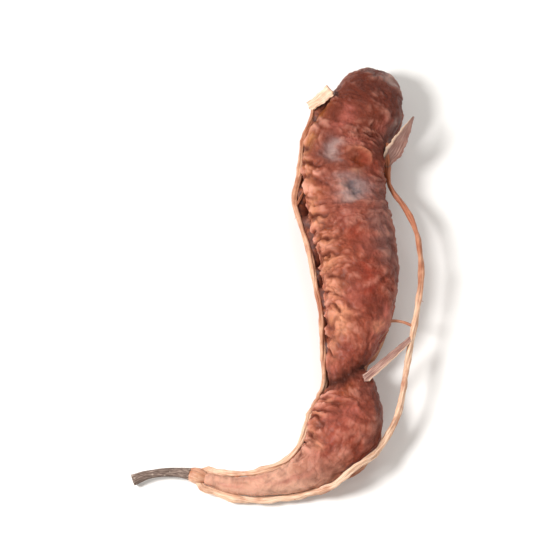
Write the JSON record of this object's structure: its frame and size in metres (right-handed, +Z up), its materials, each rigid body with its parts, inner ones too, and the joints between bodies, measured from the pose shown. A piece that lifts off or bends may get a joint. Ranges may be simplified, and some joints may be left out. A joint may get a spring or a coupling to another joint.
{
  "type": "tamarind pod",
  "caption": "Shelled tamarind pod: a long, curved, wrinkled pulp with one deep fold and a thin neck, a few tough strings along it, one sprung clear, and a woody stalk stub.",
  "frame": {"origin": "on the table, under the middle of the pod's box", "axes": "+Y along the pod, from the stalk end towards the blunt tip; +X towards the sprung string, the outer side of the bend; +Z up"},
  "size_m": [0.0644, 0.1032, 0.0149],
  "materials": {
    "dried_pulp": "satin",
    "dry_string": "matte",
    "stalk_bark": "matte"
  },
  "bodies": {
    "root": {"pulp": "dried_pulp", "strings": "dry_string", "stalk": "stalk_bark"}
  },
  "joints": []
}
